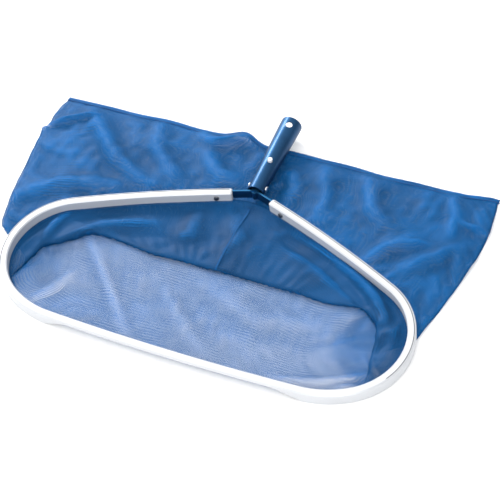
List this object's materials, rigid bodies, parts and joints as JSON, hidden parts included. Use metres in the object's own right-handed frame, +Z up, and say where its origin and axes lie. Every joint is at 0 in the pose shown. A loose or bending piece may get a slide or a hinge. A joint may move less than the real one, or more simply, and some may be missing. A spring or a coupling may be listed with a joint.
{
  "type": "leaf skimmer net",
  "caption": "Deep-bag leaf skimmer net for a pool: D-shaped metal rim, mesh bag, yoke and tapered handle socket with a sprung clip.",
  "frame": {"origin": "on the ground under the centre of the whole object's bounding box", "axes": "+Z up, +Y from the leading edge of the rim towards the handle, +X to the right seen from the leading edge"},
  "size_m": [0.5882, 0.3763, 0.0341],
  "materials": {
    "rim": "satin white",
    "blue_metal": "gloss blue",
    "screw": "satin",
    "spring": "satin",
    "button": "gloss white",
    "tape": "woven",
    "net": "fine open mesh",
    "hem": "folded mesh"
  },
  "bodies": {
    "frame": {"rim_frame": "rim", "yoke": "blue_metal", "handle_tube": "blue_metal", "arm_screws": "screw", "hub_rivet": "screw", "clip_bend": "spring", "bead_cord": "tape", "mouth_tape": "tape", "net_lower_panel": "net", "net_upper_panel": "net", "end_hem": "hem", "centre_seam": "hem"},
    "upper_clip": {"clip_leg_upper": "spring", "button_upper": "button"},
    "lower_clip": {"clip_leg_lower": "spring", "button_lower": "button"}
  },
  "joints": [
    {"name": "upper_button_press", "type": "hinge", "parent": "frame", "child": "upper_clip", "pos_m": [0.0013, 0.15347, 0.02693], "axis": [0.9848, 0.0048, -0.1736], "range_deg": [0, 5.5], "stiffness_Nm_per_rad": 4, "springref_deg": -1.72},
    {"name": "lower_button_press", "type": "hinge", "parent": "frame", "child": "lower_clip", "pos_m": [-0.0013, 0.15388, 0.01216], "axis": [-0.9848, -0.0048, 0.1736], "range_deg": [0, 5.5], "stiffness_Nm_per_rad": 4, "springref_deg": -1.72}
  ]
}
